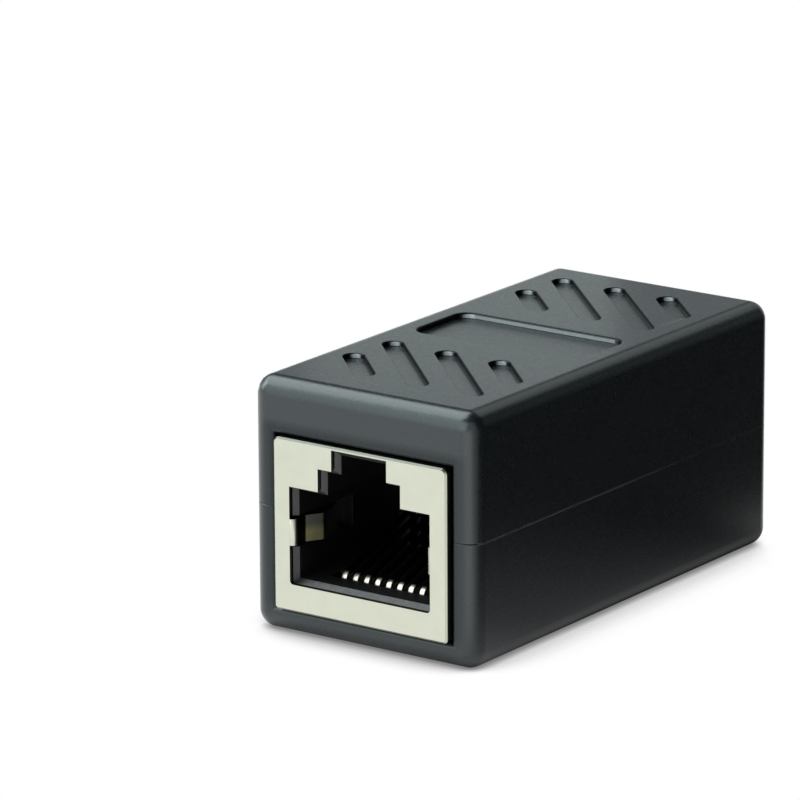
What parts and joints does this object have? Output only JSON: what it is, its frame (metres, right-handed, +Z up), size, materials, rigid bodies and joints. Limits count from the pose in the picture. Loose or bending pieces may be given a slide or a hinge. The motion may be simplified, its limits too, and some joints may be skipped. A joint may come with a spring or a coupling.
{
  "type": "inline network coupler",
  "caption": "Black moulded inline coupler with a shielded modular jack at each end, for joining network cables; slanted grip slots and a shallow panel on top.",
  "frame": {"origin": "centre of the bottom of the bounding box, on the surface the part stands on", "axes": "+X to the right of the front jack, +Y along the part from the front jack to the rear one, +Z up through the panelled top"},
  "size_m": [0.0204, 0.041, 0.0197],
  "materials": {
    "housing": "satin",
    "shield": "matte tin plate",
    "insulator": "matte",
    "contact": "gold plated",
    "board": "solder-masked laminate"
  },
  "bodies": {
    "root": {"upper_housing": "housing", "lower_housing": "housing", "circuit_board": "board", "front_shield": "shield", "front_insulator": "insulator", "front_contact_carrier": "insulator", "front_contact_tongue": "insulator", "front_contact_1": "contact", "front_contact_2": "contact", "front_contact_3": "contact", "front_contact_4": "contact", "front_contact_5": "contact", "front_contact_6": "contact", "front_contact_7": "contact", "front_contact_8": "contact", "rear_shield": "shield", "rear_insulator": "insulator", "rear_contact_carrier": "insulator", "rear_contact_tongue": "insulator", "rear_contact_1": "contact", "rear_contact_2": "contact", "rear_contact_3": "contact", "rear_contact_4": "contact", "rear_contact_5": "contact", "rear_contact_6": "contact", "rear_contact_7": "contact", "rear_contact_8": "contact"}
  },
  "joints": []
}
